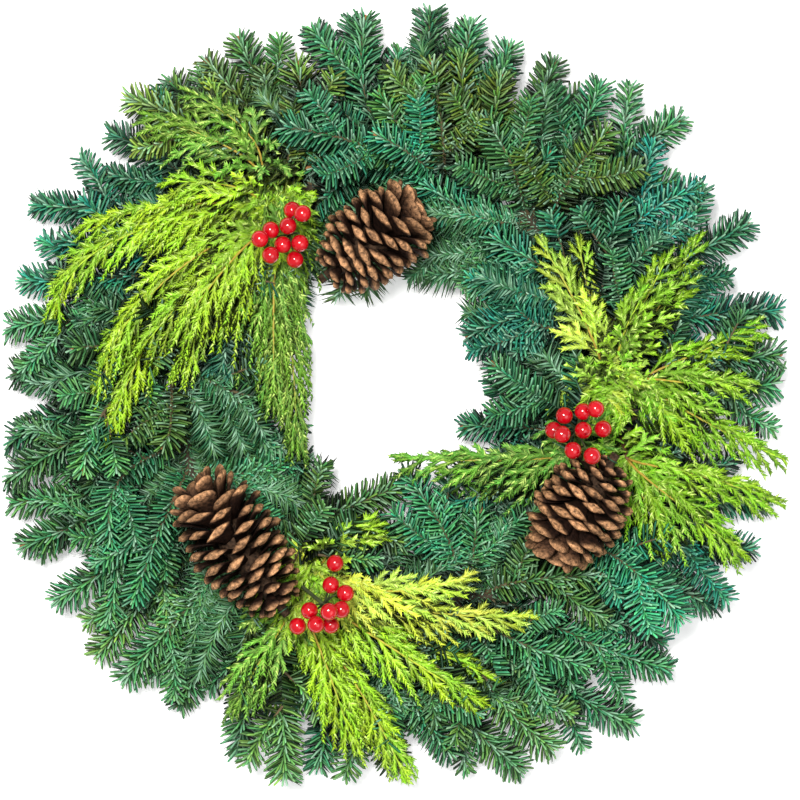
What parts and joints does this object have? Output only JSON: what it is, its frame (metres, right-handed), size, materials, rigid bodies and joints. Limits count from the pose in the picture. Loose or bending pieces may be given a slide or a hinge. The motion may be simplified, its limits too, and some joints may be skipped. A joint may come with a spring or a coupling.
{
  "type": "evergreen wreath",
  "caption": "Round evergreen wreath lying face up: fir sprays and cedar fronds wired to a two-rail ring, with open pine cones and clusters of red berries, clear in the middle.",
  "frame": {"origin": "centre of the bounding box on the surface it lies on", "axes": "+X to the right of the front view, +Y to the top of the front view, +Z out of the front face"},
  "size_m": [0.5999, 0.6023, 0.1185],
  "materials": {
    "ring_green": "green lacquer, satin",
    "florist_wire": "dull grey-green",
    "cone_scale": "dry woody scales, matte",
    "berry_red": "smooth glossy skin",
    "fir_deep": "waxy needles, deep green",
    "fir_teal": "waxy needles, blue-green",
    "fir_light": "waxy needles, light green",
    "cedar_bright": "scale leaves, yellow-green",
    "cedar_dark": "scale leaves, mid green",
    "cedar_yellow": "scale leaves, yellow"
  },
  "bodies": {
    "root": {"berry_pick_1": "berry_red", "berry_pick_2": "berry_red", "berry_pick_3": "berry_red", "cedar_bottom_1": "cedar_dark", "cedar_bottom_2": "cedar_bright", "cedar_bottom_3": "cedar_bright", "cedar_bottom_4": "cedar_yellow", "cedar_bottom_5": "cedar_bright", "cedar_left_1": "cedar_dark", "cedar_left_2": "cedar_bright", "cedar_left_3": "cedar_bright", "cedar_left_4": "cedar_bright", "cedar_left_5": "cedar_dark", "cedar_right_1": "cedar_yellow", "cedar_right_2": "cedar_bright", "cedar_right_3": "cedar_bright", "cedar_right_4": "cedar_bright", "cedar_right_5": "cedar_dark", "cone_1": "cone_scale", "cone_2": "cone_scale", "cone_3": "cone_scale", "cone_wire_1": "florist_wire", "cone_wire_2": "florist_wire", "cone_wire_3": "florist_wire", "fir_bunch_01": "fir_teal", "fir_bunch_02": "fir_deep", "fir_bunch_03": "fir_deep", "fir_bunch_04": "fir_light", "fir_bunch_05": "fir_teal", "fir_bunch_06": "fir_deep", "fir_bunch_07": "fir_deep", "fir_bunch_08": "fir_deep", "fir_bunch_09": "fir_deep", "fir_bunch_10": "fir_deep", "fir_bunch_11": "fir_teal", "fir_bunch_12": "fir_deep", "ring_frame": "ring_green", "tie_wire_1": "florist_wire", "tie_wire_2": "florist_wire", "tie_wire_3": "florist_wire"}
  },
  "joints": []
}
